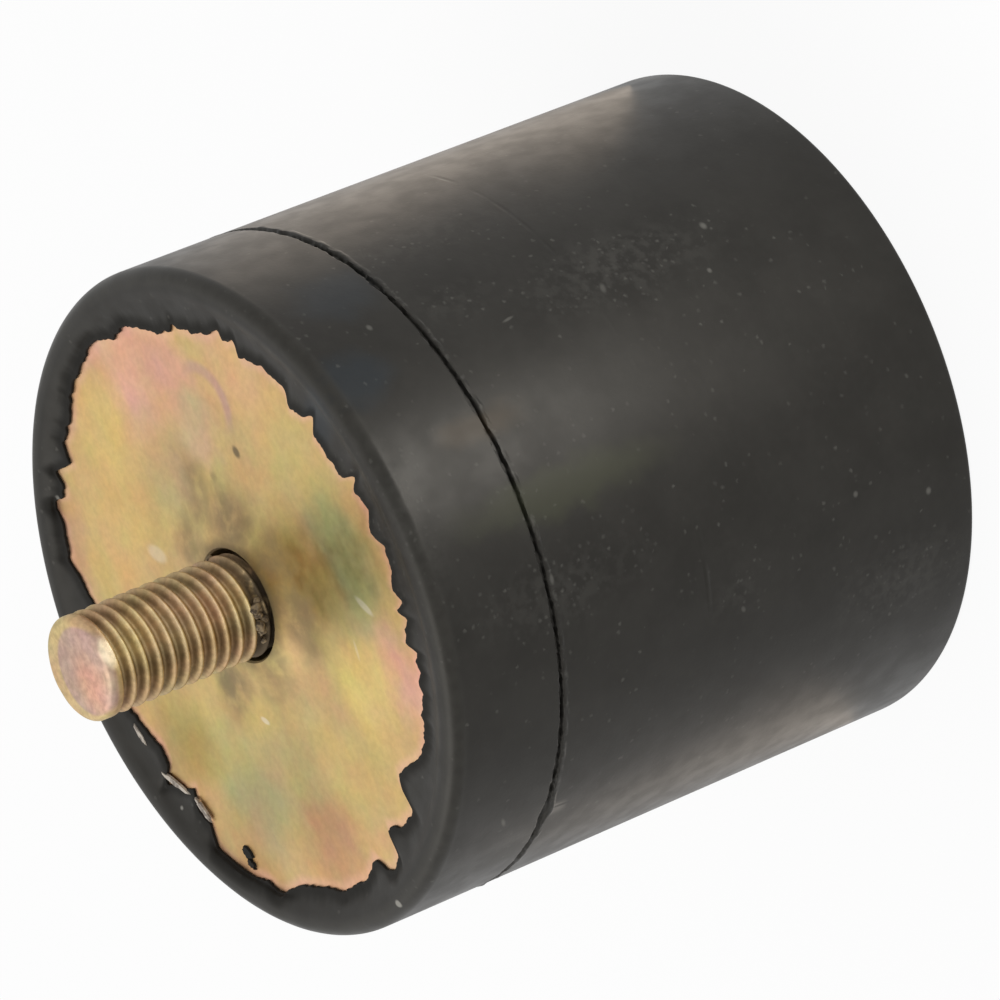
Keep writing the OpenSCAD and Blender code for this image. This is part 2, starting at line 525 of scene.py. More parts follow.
# Single light marks on the wall: angle and height, half-length and half-width in mm, turn and strength
WALL_MARKS = (
    (30, 19.5, 0.7, 0.55, 0, 0.7),
    (22, 22.5, 0.45, 0.4, 0, 0.6),
    (-26, 6.2, 0.6, 0.5, 0, 0.7),
    (-21.5, 16, 0.5, 0.45, 0, 0.6),
    (-33, 32.5, 0.6, 0.4, 30, 0.4),
    (35, 62, 0.6, 0.45, 0, 0.6),
    (27, 47.5, 0.25, 1.1, 10, 0.5),
    (-57, 63.2, 1.2, 0.35, 25, 0.7),
    (26, 35.2, 0.9, 0.5, -20, 0.4),
    (-15, 56.4, 0.9, 0.4, 0, 0.5),
)
# Tint of the light that rubber mirrors
RUBBER_SHINE = (1.0, 0.94, 0.84)
# Colour that the film is darkened towards near its torn edge: painted shade where the film slopes down to
# the plate
FILM_SHADE_COLOUR = (0.004, 0.004, 0.0038)
# Colour of the edge round the stud end: faint dust, and a painted highlight on its rounding
EDGE_DUST_AND_HIGHLIGHT = (0.026, 0.025, 0.022)
# Light specks on the rim: place and half-width in mm, and strength
RIM_MARKS = (
    ((-35.4, -8.2, 71.3), 0.6, 1.6),
    ((18.2, 27.7, 70.7), 0.5, 0.6),
    ((-18.1, 27.7, 71), 0.4, 1.0),
)


def rubber_material(s):
    """Dull black rubber with faint mottling, tints, dust and light marks, painted sheen on the wall,
    painted highlights on the stud end's edge and on the ridge below the parting line, and painted shade on
    the film near its torn edge.
    """
    shader = Shader("moulded_rubber", IOR=1.35)
    shader.feed(shader.surface.inputs["Specular Tint"], RUBBER_SHINE)
    place = shader.place()
    x, y, z = shader.parts(place)
    turn = shader.math("ARCTAN2", x, shader.math("MULTIPLY", y, -1))
    arc_length = shader.math("MULTIPLY", turn, BODY_RADIUS)
    wall = shader.flat(arc_length, z)
    uneven_wall = shader.warped(wall, 4 * MM, 4 * MM)

    def on_wall(vector, angle, height, half_angle, half_height, turn=0.0):
        centre = (math.radians(angle) * BODY_RADIUS, height * MM)
        return shader.spot(vector, centre, (half_angle * MM, half_height * MM), turn)

    radius = shader.node("VectorMath", {0: shader.flat(x, y)}, operation="LENGTH").outputs["Value"]
    stud_end = shader.math("GREATER_THAN", z, PLATE_LOW.z)
    inside = shader.ramp(radius, BODY_RADIUS - 0.4 * MM, BODY_RADIUS - 1.6 * MM)
    rim = shader.math("MULTIPLY", stud_end, inside)
    gap = shader.node("Attribute", attribute_name=FILM_GAP).outputs["Fac"]
    film = shader.ramp(gap, 2.0 * MM, 0.5 * MM)
    # The rounded edge round the stud end, lightened in specks: partly dust, partly a painted highlight
    high = shader.ramp(z, RUBBER_HIGH.z - 2.2 * MM, RUBBER_HIGH.z - 0.9 * MM)
    outer = shader.ramp(radius, BODY_RADIUS - 2.4 * MM, BODY_RADIUS - 1.2 * MM)
    edge_dust_and_glint = shader.ramp(shader.noise(place, 1.5 * MM, 4), 0.25, 0.65, 0.35, 0.95)
    edge = shader.math("MULTIPLY", shader.math("MULTIPLY", high, outer), edge_dust_and_glint)
    mottle = shader.ramp(shader.noise(place, 7 * MM, 5), 0.3, 0.7)
    colour = shader.mix(mottle, tuple(0.8 * c for c in s.colour), tuple(1.25 * c for c in s.colour))
    degree = math.radians(1) * BODY_RADIUS / MM
    # Tints on the wall, the first two of them painted sheen
    for angle, height, wide, tall, tint, strength in WALL_TINTS_AND_SHEEN:
        patch = shader.ramp(on_wall(uneven_wall, angle, height, wide * degree, tall), 0, 0.7, 0, strength)
        colour = shader.mix(patch, colour, tint)

    # Painted shade: the film darkened towards its torn edge
    colour = shader.mix(shader.math("MULTIPLY", film, 0.7), colour, FILM_SHADE_COLOUR)
    colour = shader.mix(edge, colour, EDGE_DUST_AND_HIGHLIGHT)

    cloud = shader.math("MULTIPLY", shader.noise(place, 5 * MM), 0.15)
    for angle, height, wide, tall, strength in DUST_CLOUDS:
        patch = shader.math("MULTIPLY", on_wall(uneven_wall, angle, height, wide * degree, tall), strength)
        cloud = shader.math("MAXIMUM", cloud, patch)
    cells = shader.warped(place, 0.5 * MM, 0.5 * MM)
    speck = shader.node("TexVoronoi", {"Vector": cells, "Scale": 1 / (0.7 * MM)})
    pick, tone, _ = shader.parts(speck.outputs["Color"])
    near = shader.ramp(speck.outputs["Distance"], 0.5, 0.05, 0, 0.15)
    chosen = shader.math("MULTIPLY", shader.math("LESS_THAN", pick, cloud), tone)
    dust_and_glints = shader.math("MULTIPLY", near, chosen)
    for angle, height, long, wide, turn, strength in WALL_MARKS:
        mark = shader.ramp(on_wall(wall, angle, height, long, wide, turn), 0, 0.8, 0, 0.4 * strength)
        dust_and_glints = shader.math("MAXIMUM", dust_and_glints, mark)
    # Painted glints, in the dust colour, where the ragged ridge below the parting groove catches light
    below_line = RUBBER_HIGH.z - s.parting_depth - 0.7 * MM
    off_line = shader.math("ABSOLUTE", shader.math("SUBTRACT", z, below_line))
    broken = shader.ramp(shader.noise(place, 0.9 * MM, 3), 0.5, 0.7, 0, 0.12)
    ridge_glints = shader.math("MULTIPLY", broken, shader.ramp(off_line, 0.45 * MM, 0.1 * MM))
    dust_and_glints = shader.math("MAXIMUM", dust_and_glints, ridge_glints)
    for centre, half, strength in RIM_MARKS:
        mark = shader.spot(place, [c * MM for c in centre], [half * MM] * 3)
        dust_and_glints = shader.math("MAXIMUM", dust_and_glints, shader.ramp(mark, 0, 0.7, 0, strength))
    haze = shader.ramp(shader.noise(place, 1.2 * MM, 3), 0.4, 0.65, 0, 0.07)
    dust_and_glints = shader.math("MAXIMUM", dust_and_glints, shader.math("MULTIPLY", haze, cloud))
    colour = shader.mix(dust_and_glints, colour, tuple(s.dust_and_glint_colour))
    shader.feed(shader.surface.inputs["Base Color"], colour)

    grain = shader.noise(place, 0.45 * MM, 4)
    rough = shader.ramp(shader.noise(place, 3 * MM, 4), 0.3, 0.7, s.roughness - 0.02, s.roughness + 0.05)
    rough = shader.math("MULTIPLY_ADD", rim, 0.1, rough)
    rough = shader.math("MULTIPLY_ADD", film, 0.3, rough)
    shader.feed(shader.surface.inputs["Roughness"], shader.math("MULTIPLY_ADD", dust_and_glints, 0.4, rough))
    shader.bump(shader.math("MULTIPLY_ADD", dust_and_glints, 2.0, grain), 0.01 * MM, 0.8)
    return shader.material


class ISOLATOR_OT_rubber(bpy.types.Operator):
    """Models the rubber moulding with its mould lines and the torn film over the plate"""

    bl_idname = "isolator.rubber"
    bl_label = "Rubber body"

    def execute(self, context):
        s = context.scene.isolator.rubber
        bm = turned(rubber_profile(s), s.segments)
        shape_rubber(bm, s)
        bmesh.ops.recalc_face_normals(bm, faces=bm.faces)
        piece = piece_from(bm, "rubber_moulding", rubber_material(s), 50)
        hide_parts("rubber_body")
        return {"FINISHED"}


# End plate


# The round press mark on the plate: its middle, its radius and the width of its ring
MARK_PLACE = Vector((20.6, -7.2)) * MM
MARK_RADIUS = 4.7 * MM
MARK_RING = 0.9 * MM
MARK_DEPTH = 0.07 * MM
# Tints of the plating, and one painted reflection of the stud: middle and half-widths in mm, turn in
# degrees, strength and colour
PLATE_TINTS_AND_REFLECTION = (
    (29, 5, 12, 10, 0, 0.9, (0.68, 0.38, 0.28)),
    (27, -4, 8, 7, 0, 0.8, (0.62, 0.33, 0.25)),
    (23, 13, 10, 9, 0, 0.7, (0.66, 0.46, 0.16)),
    (22, -15, 11, 8, 20, 0.75, (0.63, 0.38, 0.20)),
    (13, 20, 13, 11, 0, 0.8, (0.61, 0.40, 0.16)),
    (13, 29, 9, 4, -20, 0.8, (0.50, 0.31, 0.17)),
    (19, -4, 6, 6, 0, 0.6, (0.50, 0.36, 0.24)),
    (-16, -26, 15, 6, 30, 0.9, (0.62, 0.345, 0.27)),
    (-13, -17, 9, 8, 0, 0.8, (0.63, 0.48, 0.17)),
    (-28, 2, 16, 8, 0, 0.85, (0.40, 0.21, 0.115)),
    (-26, 18, 9, 7, 0, 0.9, (0.38, 0.24, 0.085)),
    (-20, 12, 11, 9, 10, 0.85, (0.33, 0.31, 0.15)),
    (-12, 23, 9, 9, 0, 0.85, (0.34, 0.255, 0.08)),
    (12, -21, 8, 6, 0, 0.6, (0.53, 0.41, 0.16)),
    (-11, -8, 8, 7, 0, 0.6, (0.48, 0.31, 0.17)),
    # Painted reflection of the stud, olive, where the plate mirrors it
    (0, -22, 11, 8, 0, 0.85, (0.31, 0.325, 0.16)),
    (-3, -16, 7, 5, 0, 0.7, (0.44, 0.375, 0.145)),
    (-18, 2, 7, 7, 0, 0.6, (0.37, 0.33, 0.14)),
    (15, 4, 7, 6, 0, 0.6, (0.44, 0.30, 0.17)),
)
# Colour of the plating far from the stud
EDGE_TINT = (0.60, 0.35, 0.18)
# Colour of the plating close to the film's torn edge
FRINGE_TINT = (0.71, 0.41, 0.28)
# Colour of the press mark's ring
RING_TINT = (0.47, 0.29, 0.22)
# Dark smears round the stud, in the same terms as the tints: partly grime, partly painted shade at the
# stud's foot
PLATE_SMEARS = (
    (9, -4.5, 6, 6, 0, 0.6),
    (3, -9, 5, 5, 0, 0.55),
    (-4, -9, 7, 6, 0, 0.65),
    (-9, -1, 4.5, 6, 0, 0.55),
    (-7, 8, 7, 5, -40, 0.75),
    (13, 0, 7, 5, 0, 0.5),
    (13.2, -5, 2, 1.5, 0, 0.5),
    (8, 5, 5, 5, 0, 0.5),
)
# Light scratches on the plate, in the same terms
PLATE_SCRATCHES = (
    (-5.0, -22.5, 2.0, 0.6, 38, 0.4),
    (-12.5, 5.0, 1.0, 0.45, 53, 0.4),
    (8.4, 12.9, 2.2, 1.2, 60, 0.25),
    (-9.0, -17.8, 1.5, 0.3, -10, 0.2),
)
PLATE_PITS = ((15.0, -10.3, 1.0, 0.75, 20, 0.8),)
SCRATCH_COLOUR = (0.75, 0.70, 0.60)
PIT_COLOUR = (0.10, 0.075, 0.04)


def plate_profile(s):
    """The plate's section, with rings close enough together for the marks on its face."""
    hole = THREAD_RADIUS + s.hole_gap
    edge = PLATE_HIGH.x
    soft = 0.3 * MM
    face = [(radius, PLATE_FACE) for radius in spaced(hole + s.chamfer, edge - soft, 0.5 * MM)]
    wall = arc((edge - soft, PLATE_FACE - soft), soft, 90, 0, 3)
    return [(hole, PLATE_LOW.z), (hole, PLATE_FACE - s.chamfer), *face, *wall, (edge, PLATE_LOW.z)]


def shape_plate(bm, s):
    """Gives the plate's face its waviness, swelling and press mark, and its distance to the film."""
    edge = read_torn_edge()
    gap = bm.verts.layers.float.new(FILM_GAP)
    for vert in bm.verts:
        x, y, z = vert.co
        radius = math.hypot(x, y)
        vert[gap] = max(0, torn_radius(edge, front_angle(x, y)) - radius)
        if z < PLATE_FACE - s.chamfer - TOUCH:
            continue
        wave = s.waviness * (noise.noise(Vector((x, y, 0)) / (11 * MM)) - 1)
        away = (Vector((x, y)) - MARK_PLACE).length
        mark = -MARK_DEPTH * math.exp(-(((away - MARK_RADIUS) / MARK_RING) ** 2))
        swell = SWELLING * smooth(s.swell_radius, THREAD_RADIUS, radius) ** 1.3
        vert.co.z += wave + mark + swell


def plating_colour(shader, place, base, speckle_amount):
    """The plating's own colour, with the fine speckle and drift of hue that a passivated face has."""
    drift = shader.noise(place, 5 * MM, 4, "Color")
    hue = shader.mix(0.2, base, drift, "OVERLAY")
    speckle = shader.ramp(shader.noise(place, 0.7 * MM, 5), 0.25, 0.75, 1 - speckle_amount, 1 + speckle_amount)
    grey = shader.node("CombineColor", {0: speckle, 1: speckle, 2: speckle}).outputs[0]
    return shader.mix(1.0, hue, grey, "MULTIPLY")


def plate_material(s):
    """Yellow passivated zinc: gold that drifts to pink and green, grimy and with painted shade round the
    stud, and a painted reflection of the stud.
    """
    shader = Shader("yellow_zinc_plate", Metallic=1.0)
    place = shader.place()
    x, y, _ = shader.parts(place)
    face = shader.flat(x, y)
    uneven = shader.warped(face, 6 * MM, 7 * MM)
    radius = shader.node("VectorMath", {0: face}, operation="LENGTH").outputs["Value"]

    colour = tuple(s.colour)
    # Tints of the plating, one of them a painted reflection of the stud
    for *oval, tint in PLATE_TINTS_AND_REFLECTION:
        colour = shader.mix(shader.patch(uneven, *oval), colour, tint)
    colour = shader.mix(shader.ramp(radius, 25 * MM, 31 * MM, 0, 0.35), colour, EDGE_TINT)
    gap = shader.node("Attribute", attribute_name=FILM_GAP).outputs["Fac"]
    colour = shader.mix(shader.ramp(gap, 1.6 * MM, 0.2 * MM, 0, 0.6), colour, FRINGE_TINT)
    inputs = {0: face, 1: (*MARK_PLACE, 0)}
    from_mark = shader.node("VectorMath", inputs, operation="DISTANCE").outputs["Value"]
    off_ring = shader.math("ABSOLUTE", shader.math("SUBTRACT", from_mark, MARK_RADIUS))
    arc_side = shader.patch(face, 23, -11, 7, 6, 0, 0.8, 0.5)
    ring = shader.math("MULTIPLY", shader.ramp(off_ring, 1.1 * MM, 0.2 * MM), arc_side)
    colour = shader.mix(ring, colour, RING_TINT)
    colour = plating_colour(shader, place, colour, 0.06)

    smear_and_shade = shader.most(shader.patch(uneven, *oval) for oval in PLATE_SMEARS)
    # A dark ring round the hole: painted shade at the stud's foot
    smear_and_shade = shader.math("MAXIMUM", smear_and_shade, shader.ramp(radius, 9 * MM, 6.3 * MM, 0, 0.7))
    darkening = shader.math("MULTIPLY", smear_and_shade, shader.ramp(shader.noise(place, 2 * MM, 5), 0.25, 0.6, 0.45, 1))
    colour = shader.mix(darkening, colour, tuple(s.grime_and_shade_colour))
    scratch = shader.most(shader.patch(face, *oval, 0.5) for oval in PLATE_SCRATCHES)
    colour = shader.mix(scratch, colour, SCRATCH_COLOUR)
    pit = shader.most(shader.patch(face, *oval, 0.6) for oval in PLATE_PITS)
    colour = shader.mix(pit, colour, PIT_COLOUR)
    shader.feed(shader.surface.inputs["Base Color"], colour)
    rough = shader.ramp(shader.noise(place, 2.2 * MM, 4), 0.3, 0.7, s.roughness - 0.02, s.roughness + 0.05)
    shader.feed(shader.surface.inputs["Roughness"], shader.math("MULTIPLY_ADD", darkening, 0.3, rough))
    shader.bump(shader.noise(place, 0.35 * MM, 5), 0.006 * MM, 0.5)
    return shader.material


class ISOLATOR_OT_plate(bpy.types.Operator):
    """Models the plated steel plate with the press mark on its face"""

    bl_idname = "isolator.plate"
    bl_label = "End plate"

    def execute(self, context):
        s = context.scene.isolator.plate
        bm = turned(plate_profile(s), s.segments, closed=True)
        shape_plate(bm, s)
        piece = piece_from(bm, "plated_disc", plate_material(s))
        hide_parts("end_plate")
        return {"FINISHED"}


# Stud


HEAD_FLATS = STUD_HIGH.y
# Half of one pitch of the thread: height as a share of the pitch, and share of the thread's depth
THREAD_SHARES = (
    (0, 0),
    (0.08, 0.01),
    (0.14, 0.08),
    (0.2, 0.24),
    (0.3, 0.57),
    (0.41, 0.92),
    (0.44, 0.985),
    (0.5, 1),
)
# How far below the tip the thread runs out into a plain end
RUN_OUT = (2.1 * MM, 1.4 * MM)
THREAD_WEAR = 0.03 * MM


def thread_profile(s):
    """One pitch of the thread from root to root, as distance from the axis and height."""
    root = THREAD_RADIUS - s.crest_wear - s.depth
    rising = [(root + s.depth * deep, s.pitch * along) for along, deep in THREAD_SHARES]
    falling = [(radius, s.pitch - height) for radius, height in reversed(rising[:-1])]
    return rising + falling


def hexagon_radius(angle, flats):
    """Distance from the axis to a hexagon's side."""
    away = (angle + 30) % 60 - 30
    return flats / math.cos(math.radians(away))


def set_ring(verts, radius_of, height):
    """Moves a ring of vertices to a radius that may depend on the angle, and to a height."""
    for vert in verts:
        angle = math.degrees(math.atan2(vert.co.y, vert.co.x))
        radius = radius_of(angle)
        vert.co = (radius * math.cos(math.radians(angle)), radius * math.sin(math.radians(angle)), height)


def open_edges(bm, height):
    """The open edges of a mesh near a height."""
    return [e for e in bm.edges if e.is_boundary and all(abs(v.co.z - height) < 2e-5 for v in e.verts)]


def add_head(bm, s):
    """Carries the thread's lower end down into the shank and the six-sided head behind the plate."""
    shank = THREAD_RADIUS - s.shank_inset
    rings = (
        (lambda angle: shank, PLATE_FACE),
        (lambda angle: shank, PLATE_LOW.z),
        (lambda angle: hexagon_radius(angle + 30, HEAD_FLATS), PLATE_LOW.z),
        (lambda angle: hexagon_radius(angle + 30, HEAD_FLATS), STUD_LOW.z),
    )
    edges = open_edges(bm, PLATE_FACE)
    for radius_of, height in rings:
        grown = bmesh.ops.extrude_edge_only(bm, edges=edges)["geom"]
        set_ring([g for g in grown if isinstance(g, bmesh.types.BMVert)], radius_of, height)
        edges = [g for g in grown if isinstance(g, bmesh.types.BMEdge)]
    bmesh.ops.holes_fill(bm, edges=edges, sides=0)


def threaded_rod(s):
    """The stud's bmesh: a thread swept up its helix, trimmed at both ends and chamfered at the tip."""
    bm = bmesh.new()
    start = PLATE_FACE - 2 * s.pitch + THREAD_RISE
    turns = math.ceil((STUD_HIGH.z - start) / s.pitch) + 2
    verts = [bm.verts.new((radius, 0, start + height)) for radius, height in thread_profile(s)]
    edges = [bm.edges.new(pair) for pair in zip(verts, verts[1:])]
    bmesh.ops.spin(
        bm,
        geom=verts + edges,
        cent=(0, 0, 0),
        axis=(0, 0, 1),
        dvec=(0, 0, s.pitch / s.segments),
        angle=math.tau * turns,
        steps=s.segments * turns,
    )
    bmesh.ops.remove_doubles(bm, verts=bm.verts, dist=5 * TOUCH)
    for height, way in ((PLATE_FACE, -1), (STUD_HIGH.z, 1)):
        geom = [*bm.verts, *bm.edges, *bm.faces]
        bmesh.ops.bisect_plane(
            bm, geom=geom, dist=TOUCH, plane_co=(0, 0, height), plane_no=(0, 0, way), clear_outer=True
        )
    for vert in bm.verts:
        radius = math.hypot(vert.co.x, vert.co.y)
        above = min(1, max(0, vert.co.z - (STUD_HIGH.z - s.tip_height)) / s.tip_height)
        limit = THREAD_RADIUS - s.crest_wear - s.tip_width * (1 - math.sqrt(1 - above**2))
        plain = smooth(STUD_HIGH.z - RUN_OUT[0], STUD_HIGH.z - RUN_OUT[1], vert.co.z)
        filled = radius + plain * max(0, THREAD_RADIUS - s.crest_wear - radius)
        rough = noise.noise(vert.co / (0.9 * MM)) * (radius / THREAD_RADIUS)
        worn = filled + THREAD_WEAR * rough - THREAD_WEAR
        factor = min(worn, limit) / radius
        vert.co.x *= factor
        vert.co.y *= factor
        vert.co.z = min(vert.co.z, STUD_HIGH.z)
    add_head(bm, s)
    bmesh.ops.holes_fill(bm, edges=open_edges(bm, STUD_HIGH.z), sides=0)
    bmesh.ops.recalc_face_normals(bm, faces=bm.faces)
    return bm


# The pink middle of the stud's end, which lies to the front of the axis
END_MIDDLE = (-0.4 * MM, -1.4 * MM, 0)
END_RADIUS = 4.9 * MM
# Colours of the rest of the tip, of the blush on its end, and of the painted highlight on its near edge
TIP_COLOUR = (0.53, 0.40, 0.21)
BLUSH = (0.56, 0.31, 0.22)
TIP_HIGHLIGHT = (0.90, 0.76, 0.54)
# Colours of the roots and crests on the front side: a painted highlight where the light falls on the thread
HIGHLIT_ROOT = (0.46, 0.33, 0.18)
HIGHLIT_CREST = (0.74, 0.57, 0.33)
# Height that the thread's turns are moved up by
THREAD_RISE = 0.68 * MM
# Middle and half-widths of the painted highlight on the tip's near edge
NEAR_EDGE = (0.6 * MM, -5.6 * MM, STUD_HIGH.z - 0.9 * MM)
NEAR_EDGE_HALF = (2.3 * MM, 1.1 * MM, 1.0 * MM)
# Colour that the stud's foot is darkened towards, next to the plate and most towards -X
FOOT_DARK = (0.13, 0.10, 0.07)


def stud_material(s):
    """Yellow passivated zinc on a thread: bright crests, roots partly darkened with painted shade, a
    painted highlight on the front side, a pinkish end and a darker foot.
    """
    shader = Shader("yellow_zinc_thread", Metallic=1.0)
    place = shader.place()
    x, y, z = shader.parts(place)
    across = shader.flat(x, y)
    radius = shader.node("VectorMath", {0: across}, operation="LENGTH").outputs["Value"]
    # Crests lighter than roots: partly wear on the crests, partly painted shade in the roots
    worn = shader.math("MULTIPLY_ADD", shader.noise(place, 0.8 * MM, 4), 0.4 * MM, radius)
    crest = shader.ramp(worn, THREAD_RADIUS - 0.65 * MM, THREAD_RADIUS - 0.05 * MM)
    plain_thread = shader.mix(crest, tuple(s.root_colour), tuple(s.crest_colour))
    highlit_thread = shader.mix(crest, HIGHLIT_ROOT, HIGHLIT_CREST)
    # Painted highlight on the front side of the thread
    colour = shader.mix(shader.patch(across, 1.3, -6, 4.2, 4.2, 0, 1.0, 0.6), plain_thread, highlit_thread)
    inputs = {0: across, 1: END_MIDDLE}
    from_middle = shader.node("VectorMath", inputs, operation="DISTANCE").outputs["Value"]
    tip = shader.ramp(z, STUD_HIGH.z - 1.3 * MM, STUD_HIGH.z - 0.8 * MM)
    colour = shader.mix(tip, colour, TIP_COLOUR)
    middle = shader.ramp(from_middle, END_RADIUS + 0.25 * MM, END_RADIUS - 0.25 * MM)
    pink = shader.math("MULTIPLY", tip, middle)
    colour = shader.mix(pink, colour, tuple(s.end_colour))
    blush = shader.math("MULTIPLY", pink, shader.patch(across, -2, -1.5, 5, 4, 0, 0.7))
    colour = shader.mix(blush, colour, BLUSH)
    # Painted highlight on the tip's near edge
    near_edge = shader.spot(place, NEAR_EDGE, NEAR_EDGE_HALF)
    colour = shader.mix(shader.ramp(near_edge, 0, 0.5, 0, 0.9), colour, TIP_HIGHLIGHT)
    colour = plating_colour(shader, place, colour, 0.15)
    # Darker at the foot, next to the plate, and most towards -X
    foot = shader.ramp(z, PLATE_FACE + 2.6 * MM, PLATE_FACE + 1.6 * MM, 0, 0.95)
    front = shader.ramp(x, 5 * MM, 1 * MM, 0.4, 1)
    patchy = shader.ramp(shader.noise(place, 1.2 * MM, 4), 0.2, 0.5)
    darkening = shader.math("MULTIPLY", shader.math("MULTIPLY", foot, front), patchy)
    colour = shader.mix(darkening, colour, FOOT_DARK)
    shader.feed(shader.surface.inputs["Base Color"], colour)
    rough = shader.ramp(crest, 0, 1, 0.6, 0.55)
    shader.feed(shader.surface.inputs["Roughness"], shader.math("MULTIPLY_ADD", darkening, 0.3, rough))
    shader.bump(shader.noise(place, 0.3 * MM, 5), 0.012 * MM, 0.6)
    return shader.material


class ISOLATOR_OT_stud(bpy.types.Operator):
    """Models the stud with its helical thread, its chamfered tip and its head behind the plate"""

    bl_idname = "isolator.stud"
    bl_label = "Stud"

    def execute(self, context):
        s = context.scene.isolator.stud
        piece = piece_from(threaded_rod(s), "threaded_stud", stud_material(s), 45)
        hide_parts("stud")
        return {"FINISHED"}


# Crumbs and flakes


# Flakes of film on the plate: angle, distance from the axis, half-length and half-width in mm, and turn
FLAKES = ((233.2, 31.4, 0.95, 0.65, 40), (234.4, 32.5, 0.75, 0.45, 30))
# Pale curls of torn film that lie on the film, in the same terms; the last is a painted highlight on the
# film's torn edge, laid on as a pale sliver
CURLS_AND_GLINT = ((196.4, 31.8, 1.4, 0.38, 18), (209.2, 31.4, 2.6, 0.36, 50), (218.6, 30.6, 1.6, 0.42, 22))
# Crumbs of grit at the stud's foot: angle, height above the plate and size in mm
CRUMBS = (
    (-10, 2.3, 0.62),
    (-17, 2.2, 0.5),
    (-30, 2.2, 0.6),
    (-37, 1.9, 0.45),
    (-3, 1.7, 0.4),
    (-24, 1.5, 0.4),
    (-50, 1.6, 0.35),
    (-12, 1.9, 0.4),
    (95, 1.5, 0.35),
    (170, 1.4, 0.4),
)


def flake(bm, angle, away, long, wide, turn, height, thickness):
    """A thin ragged flake that lies at a height."""
    around = math.radians(angle)
    centre = Vector((math.sin(around), -math.cos(around), 0)) * away * MM
    place = Matrix.Translation(centre + Vector((0, 0, height)))
    place = place @ Matrix.Rotation(math.radians(turn), 4, "Z")
    made = bmesh.ops.create_circle(bm, cap_ends=True, segments=28, radius=1)
    for vert in made["verts"]:
        ragged = 1 + 0.45 * noise.noise(vert.co * 2.2 + centre / MM)
        vert.co = place @ Vector((vert.co.x * long * MM * ragged, vert.co.y * wide * MM * ragged, 0))
    faces = list({face for vert in made["verts"] for face in vert.link_faces})
    raised = bmesh.ops.extrude_face_region(bm, geom=faces)["geom"]
    tops = [g for g in raised if isinstance(g, bmesh.types.BMVert)]
    bmesh.ops.translate(bm, vec=(0, 0, thickness), verts=tops)
    middle = sum((vert.co for vert in tops), Vector()) / len(tops)
    bmesh.ops.scale(bm, vec=(0.86, 0.86, 1), space=Matrix.Translation(-middle), verts=tops)


def crumb(bm, angle, height, size, seed):
    """A crumb of grit lodged in the thread at the stud's foot."""
    turn = math.radians(angle)
    centre = Vector((math.sin(turn), -math.cos(turn), 0)) * (THREAD_RADIUS - 0.25 * MM)
    centre.z = height
    made = bmesh.ops.create_icosphere(bm, subdivisions=3, radius=size)
    for vert in made["verts"]:
        lump = 1 + 0.45 * noise.noise(vert.co / size * 1.3 + Vector((seed, 0, 0)))
        vert.co = centre + vert.co * lump


def curl_and_glint_material():
    """Torn film stretched pale and dusted, also laid on as a painted highlight on the film's torn edge."""
    shader = Shader("torn_film_and_glint", Roughness=0.6)
    tone = shader.ramp(shader.noise(shader.place(), 0.8 * MM, 3), 0.35, 0.65)
    colour = shader.mix(tone, (0.20, 0.165, 0.135), (0.52, 0.46, 0.39))
    shader.feed(shader.surface.inputs["Base Color"], colour)
    return shader.material


def crumb_material():
    """Dry tan and brown grit."""
    shader = Shader("thread_grit", Roughness=0.85)
    place = shader.place()
    tone = shader.ramp(shader.noise(place, 0.5 * MM, 4), 0.35, 0.65)
    colour = shader.mix(tone, (0.07, 0.05, 0.032), (0.34, 0.26, 0.16))
    shader.feed(shader.surface.inputs["Base Color"], colour)
    shader.bump(shader.noise(place, 0.15 * MM, 4), 0.03 * MM)
    return shader.material


class ISOLATOR_OT_dirt_and_glint(bpy.types.Operator):
    """Adds the loose flakes of film on the plate, pale curls of film with one painted highlight among them,
    and the grit at the stud's foot
    """

    bl_idname = "isolator.dirt"
    bl_label = "Flakes and grit"

    def execute(self, context):
        s = context.scene.isolator.rubber
        bm = bmesh.new()
        for oval in FLAKES:
            flake(bm, *oval, PLATE_FACE - 0.03 * MM, s.film_thickness)
        bmesh.ops.recalc_face_normals(bm, faces=bm.faces)
        flakes = piece_from(bm, "film_flakes", bpy.data.materials["moulded_rubber"])
        bm = bmesh.new()
        # Pale curls of film, the last a painted highlight on the torn edge
        for oval in CURLS_AND_GLINT:
            flake(bm, *oval, PLATE_FACE + 0.2 * MM, 0.25 * MM)
        bmesh.ops.recalc_face_normals(bm, faces=bm.faces)
        piece_from(bm, "film_curls_and_glint", curl_and_glint_material())
        bm = bmesh.new()
        for seed, (angle, height, size) in enumerate(CRUMBS):
            crumb(bm, angle, PLATE_FACE + height * MM, size * MM, seed)
        bmesh.ops.recalc_face_normals(bm, faces=bm.faces)
        piece_from(bm, "thread_grit", crumb_material())
        return {"FINISHED"}


# Stage


# Lamps: name, place, what each points at, width and power in watts
LAMPS = (
    ("overhead_lamp", (-0.25, 0.15, 0.70), (0, 0, 0.05), 0.5, 2.2),
    ("floor_lamp", (0.030, -0.116, 0.004), (0.01, -0.05, 0.06), 0.055, 0.098),
)
# Strips of light that lie on the floor: name, middle, turn in degrees, length, width and power in watts
STRIPS = (
    ("high_strip", (0.069, 0.033), 65, 0.10, 0.024, 0.009),
    ("near_strip", (0.107, 0.027), 23, 0.07, 0.04, 0.0106),
    ("low_strip", (-0.0705, 0.0217), 130, 0.075, 0.02, 0.0038),
)
STRIP_COLOUR = (1.0, 0.80, 0.60)
STRIP_HEIGHT = 0.004


def add_light(name, power):
    """A soft lamp at the origin, pointing down."""
    light = bpy.data.lights.new(name, "AREA")
    light.energy = power
    lamp = bpy.data.objects.new(name, light)
    bpy.context.scene.collection.objects.link(lamp)
    return lamp


